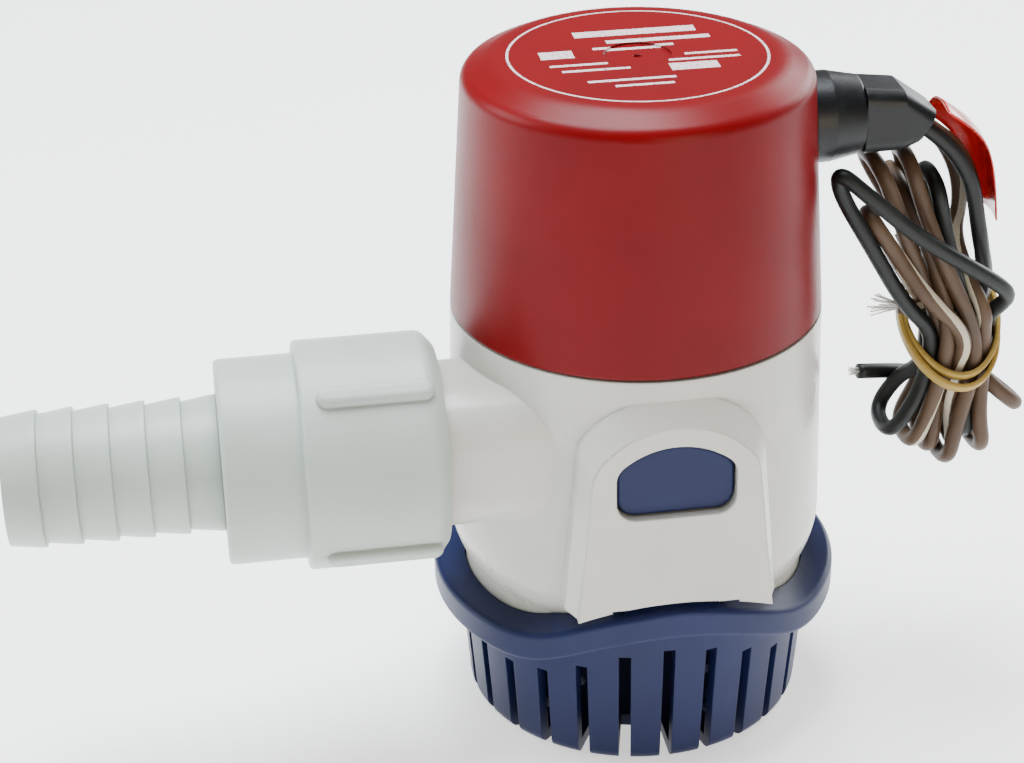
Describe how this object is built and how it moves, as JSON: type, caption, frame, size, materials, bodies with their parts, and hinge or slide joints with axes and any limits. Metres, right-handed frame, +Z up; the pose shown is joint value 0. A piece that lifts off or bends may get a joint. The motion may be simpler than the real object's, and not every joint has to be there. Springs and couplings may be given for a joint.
{
  "type": "bilge pump",
  "caption": "Submersible bilge pump with a red motor cap over a white pump body, a side discharge with a ribbed union nut and hose barb, a clipped slotted navy strainer and folded power leads.",
  "frame": {"origin": "on the pump's axis, in the plane of the strainer's underside", "axes": "+Z up along the motor shaft, -X along the discharge, +X towards the cable gland, -Y and +Y towards the two release tabs"},
  "size_m": [0.2254, 0.0906, 0.1512],
  "materials": {
    "navy_plastic": "satin moulded nylon, navy",
    "white_plastic": "satin moulded ABS, white",
    "fitting_plastic": "satin moulded nylon, cool white",
    "red_plastic": "satin moulded ABS, deep red",
    "black_rubber": "moulded black rubber",
    "steel": "plated steel",
    "black_plastic": "black moulded plastic",
    "core_steel": "laminated iron",
    "copper": "enamelled copper",
    "ferrite": "ferrite",
    "bronze": "sintered bronze",
    "carbon": "carbon",
    "brass": "brass strip",
    "foam": "closed-cell foam",
    "board": "green lacquered board",
    "can_aluminium": "capacitor can",
    "lead_black": "black wire insulation",
    "lead_brown": "brown wire insulation",
    "lead_striped": "brown wire insulation with a white stripe",
    "tinned_copper": "tinned copper strands",
    "band_rubber": "natural rubber band",
    "red_vinyl": "red vinyl"
  },
  "bodies": {
    "pump": {"strainer": "navy_plastic", "pump_body": "white_plastic", "motor_cap": "red_plastic", "cap_ring": "black_rubber", "inlet_plate": "white_plastic", "plate_screws": "steel", "motor_can": "steel", "magnets": "ferrite", "end_bell": "black_plastic", "shaft_bushes": "bronze", "shaft_seal": "black_rubber", "brushes": "carbon", "brush_arms": "brass", "motor_terminals": "brass", "motor_pad": "foam", "control_board": "board", "switching_relay": "black_plastic", "board_capacitors": "can_aluminium", "board_chip": "black_plastic", "port_ring": "black_rubber", "cable_gland": "black_rubber", "cable_sleeve": "black_rubber", "lead_black": "lead_black", "lead_brown": "lead_brown", "lead_striped": "lead_striped", "tail_black": "lead_black", "tail_striped": "lead_striped", "tail_brown": "lead_brown", "tip_black": "tinned_copper", "tip_striped": "tinned_copper", "tip_brown": "tinned_copper", "lead_hank": "lead_brown", "rubber_band": "band_rubber", "red_tag": "red_vinyl"},
    "hose_tail": {"hose_barb": "fitting_plastic", "valve_seat": "white_plastic", "flap_pin": "steel"},
    "coupling_nut": {"coupling_nut": "fitting_plastic"},
    "rotor": {"impeller": "black_plastic", "motor_shaft": "steel", "armature_core": "core_steel", "windings": "copper", "commutator": "copper"},
    "valve_flap": {"valve_flap": "black_rubber"},
    "release_tab_front": {"release_tab_front": "navy_plastic"},
    "release_tab_rear": {"release_tab_rear": "navy_plastic"}
  },
  "joints": [
    {"name": "rotor_spin", "type": "hinge", "parent": "pump", "child": "rotor", "pos_m": [0, 0, 0.075], "axis": [0, 0, 1], "continuous": true},
    {"name": "union_slide", "type": "slide", "parent": "pump", "child": "hose_tail", "axis": [-1, 0, 0], "range_m": [0, 0.0125]},
    {"name": "union_turn", "type": "hinge", "parent": "hose_tail", "child": "coupling_nut", "pos_m": [-0.06, -0.017, 0.074], "axis": [-1, 0, 0], "range_deg": [0, 1801]},
    {"name": "flap_swing", "type": "hinge", "parent": "hose_tail", "child": "valve_flap", "pos_m": [-0.072, -0.017, 0.0878], "axis": [0, 1, 0], "range_deg": [0, 35]},
    {"name": "tab_front_press", "type": "hinge", "parent": "pump", "child": "release_tab_front", "pos_m": [0, -0.0391, 0.0403], "axis": [-1, 0, 0], "range_deg": [0, 4], "stiffness_Nm_per_rad": 3},
    {"name": "tab_rear_press", "type": "hinge", "parent": "pump", "child": "release_tab_rear", "pos_m": [0, 0.0391, 0.0403], "axis": [1, 0, 0], "range_deg": [0, 4], "stiffness_Nm_per_rad": 3}
  ],
  "couplings": [
    {"joint": "union_turn", "follows": "union_slide", "rad_per_m": 2513.3}
  ]
}
